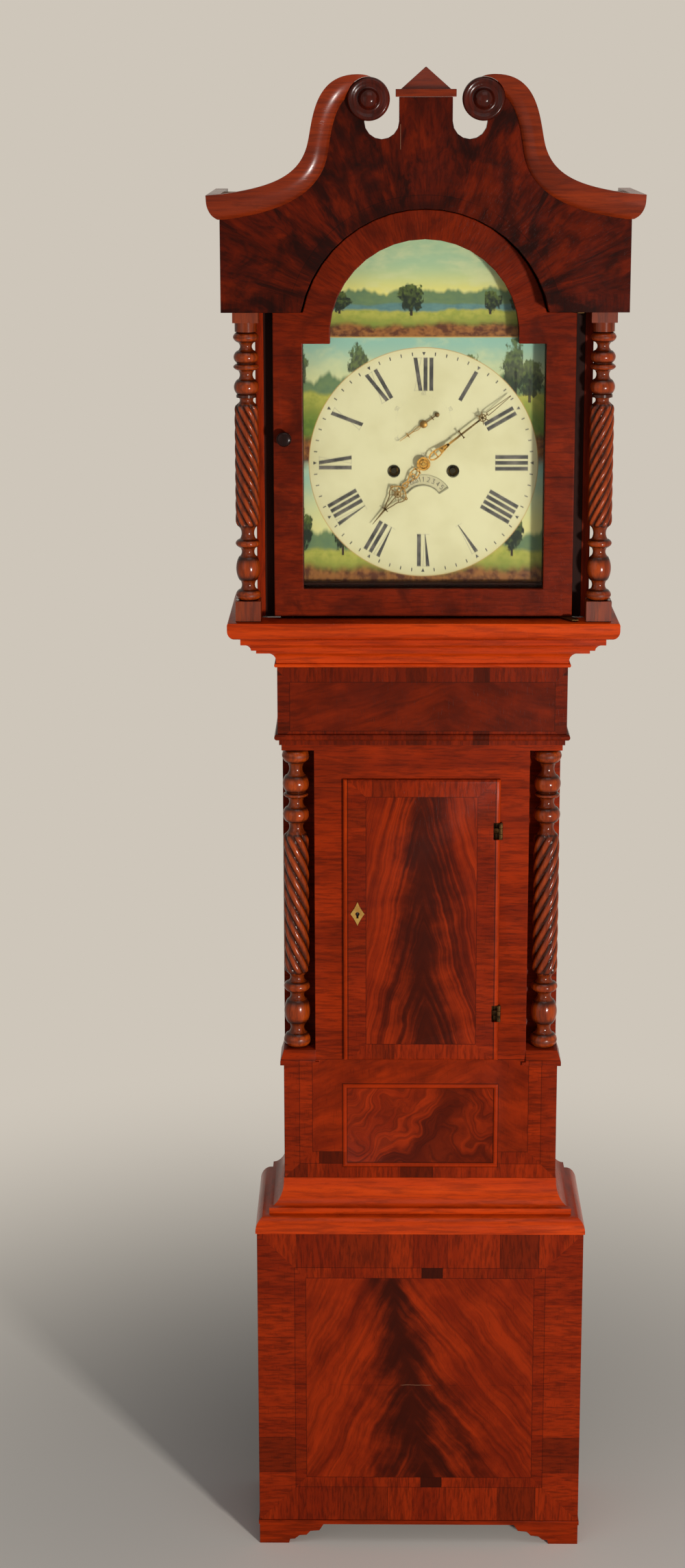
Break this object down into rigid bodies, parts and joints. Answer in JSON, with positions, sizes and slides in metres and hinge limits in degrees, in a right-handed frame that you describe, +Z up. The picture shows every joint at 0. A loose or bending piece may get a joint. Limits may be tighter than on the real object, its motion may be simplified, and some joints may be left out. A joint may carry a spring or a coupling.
{
  "type": "longcase clock",
  "caption": "Tall mahogany pendulum clock: swan-neck hood with twist columns, arched painted dial, weight-driven movement, trunk with a door, bracket base.",
  "frame": {"origin": "centre of the footprint of the whole clock, on the floor", "axes": "+Z up, +X to the viewer's right, the front faces -Y"},
  "size_m": [0.6186, 0.2724, 2.2994],
  "materials": {
    "mahogany": "polished",
    "dark_mahogany": "polished",
    "flame_veneer": "polished",
    "secondary_wood": "plain",
    "brass": "aged",
    "steel": "satin",
    "iron": "matt",
    "dial_paint": "satin",
    "glass": "clear",
    "gut": "matt"
  },
  "bodies": {
    "case": {"plinth_front": "mahogany", "base_front_panel": "flame_veneer", "base_side_left": "mahogany", "base_side_right": "mahogany", "base_moulding": "mahogany", "trunk_side_left": "mahogany", "trunk_side_right": "mahogany", "trunk_front": "mahogany", "trunk_frieze": "mahogany", "waist_moulding": "mahogany", "backboard": "secondary_wood", "trunk_hinge_lower_case_leaf": "brass", "trunk_hinge_upper_case_leaf": "brass", "trunk_column_left": "dark_mahogany", "trunk_column_right": "dark_mahogany", "seatboard": "secondary_wood", "dial": "dial_paint", "movement_front_plate": "brass", "movement_back_plate": "brass", "bell": "brass", "going_line": "gut", "strike_line": "gut"},
    "trunk_door": {"trunk_door": "flame_veneer", "trunk_door_lock": "brass", "trunk_door_escutcheon": "brass", "trunk_hinge_lower_door_leaf": "brass", "trunk_hinge_upper_door_leaf": "brass"},
    "lock_bolt": {"lock_bolt": "steel"},
    "hood": {"hood_nose_moulding": "mahogany", "hood_side_left": "mahogany", "hood_side_right": "mahogany", "hood_roof": "secondary_wood", "hood_front_frame": "dark_mahogany", "swan_neck_left": "mahogany", "swan_neck_right": "mahogany", "pediment": "mahogany", "rosette_left": "dark_mahogany", "rosette_right": "dark_mahogany", "finial_cap": "mahogany", "hood_column_left": "dark_mahogany", "hood_column_right": "dark_mahogany"},
    "hood_door": {"hood_door_frame": "mahogany", "hood_door_glass": "glass", "hood_door_lower_strap": "brass", "hood_door_upper_strap": "brass", "hood_door_knob": "dark_mahogany"},
    "centre_arbor": {"centre_wheel": "brass", "minute_hand": "brass"},
    "hour_hand": {"hour_hand": "brass"},
    "great_wheel": {"going_great_wheel": "brass"},
    "third_arbor": {"third_wheel": "brass"},
    "escape_arbor": {"escape_wheel": "brass", "seconds_hand": "brass"},
    "calendar_disc": {"calendar_disc": "dial_paint"},
    "anchor": {"anchor": "steel"},
    "pendulum": {"pendulum": "iron"},
    "going_drum": {"going_drum": "brass"},
    "going_weight": {"going_weight": "iron"},
    "strike_drum": {"strike_drum": "brass"},
    "strike_weight": {"strike_weight": "iron"}
  },
  "joints": [
    {"name": "hood_slide", "type": "slide", "parent": "case", "child": "hood", "axis": [0, -1, 0], "range_m": [0, 0.25]},
    {"name": "hood_door_hinge", "type": "hinge", "parent": "hood", "child": "hood_door", "pos_m": [0.2225, -0.09385, 1.735], "axis": [0, 0, 1], "range_deg": [0, 100]},
    {"name": "trunk_door_hinge", "type": "hinge", "parent": "case", "child": "trunk_door", "pos_m": [0.12, -0.03935, 1.0335], "axis": [0, 0, 1], "range_deg": [0, 110]},
    {"name": "lock_bolt_slide", "type": "slide", "parent": "trunk_door", "child": "lock_bolt", "axis": [-1, 0, 0], "range_m": [0, 0.008]},
    {"name": "centre_arbor_spin", "type": "hinge", "parent": "case", "child": "centre_arbor", "pos_m": [0, 0, 1.736], "axis": [0, 1, 0], "continuous": true},
    {"name": "hour_hand_spin", "type": "hinge", "parent": "case", "child": "hour_hand", "pos_m": [0, 0, 1.736], "axis": [0, 1, 0], "continuous": true},
    {"name": "great_wheel_spin", "type": "hinge", "parent": "case", "child": "great_wheel", "pos_m": [0.0434, 0, 1.724], "axis": [0, 1, 0], "continuous": true},
    {"name": "third_arbor_spin", "type": "hinge", "parent": "case", "child": "third_arbor", "pos_m": [0.01209, 0, 1.76656], "axis": [0, 1, 0], "continuous": true},
    {"name": "escape_arbor_spin", "type": "hinge", "parent": "case", "child": "escape_arbor", "pos_m": [0, 0, 1.7932], "axis": [0, 1, 0], "continuous": true},
    {"name": "calendar_disc_spin", "type": "hinge", "parent": "case", "child": "calendar_disc", "pos_m": [0, 0, 1.674], "axis": [0, 1, 0], "continuous": true},
    {"name": "pendulum_swing", "type": "hinge", "parent": "case", "child": "pendulum", "pos_m": [0, 0.06565, 1.8212], "axis": [0, 1, 0], "range_deg": [-2.5, 2.5]},
    {"name": "anchor_rock", "type": "hinge", "parent": "case", "child": "anchor", "pos_m": [0, 0, 1.8212], "axis": [0, 1, 0], "range_deg": [-2.5, 2.5]},
    {"name": "going_weight_travel", "type": "slide", "parent": "case", "child": "going_weight", "axis": [0, 0, 1], "range_m": [0, 0.9], "deforming": ["going_line"]},
    {"name": "going_drum_spin", "type": "hinge", "parent": "case", "child": "going_drum", "pos_m": [0.0434, 0, 1.724], "axis": [0, 1, 0], "range_deg": [0, 4389.6]},
    {"name": "strike_weight_travel", "type": "slide", "parent": "case", "child": "strike_weight", "axis": [0, 0, 1], "range_m": [0, 0.9], "deforming": ["strike_line"]},
    {"name": "strike_drum_spin", "type": "hinge", "parent": "case", "child": "strike_drum", "pos_m": [-0.0434, 0, 1.724], "axis": [0, 1, 0], "range_deg": [0, 4389.6]}
  ],
  "couplings": [
    {"joint": "hour_hand_spin", "follows": "centre_arbor_spin", "ratio": 0.083333},
    {"joint": "great_wheel_spin", "follows": "centre_arbor_spin", "ratio": -0.083333},
    {"joint": "third_arbor_spin", "follows": "centre_arbor_spin", "ratio": -7.5},
    {"joint": "escape_arbor_spin", "follows": "centre_arbor_spin", "ratio": 60},
    {"joint": "calendar_disc_spin", "follows": "centre_arbor_spin", "ratio": 0.0013441},
    {"joint": "anchor_rock", "follows": "pendulum_swing", "ratio": 1},
    {"joint": "going_drum_spin", "follows": "going_weight_travel", "rad_per_m": 85.106},
    {"joint": "strike_drum_spin", "follows": "strike_weight_travel", "rad_per_m": 85.106}
  ]
}
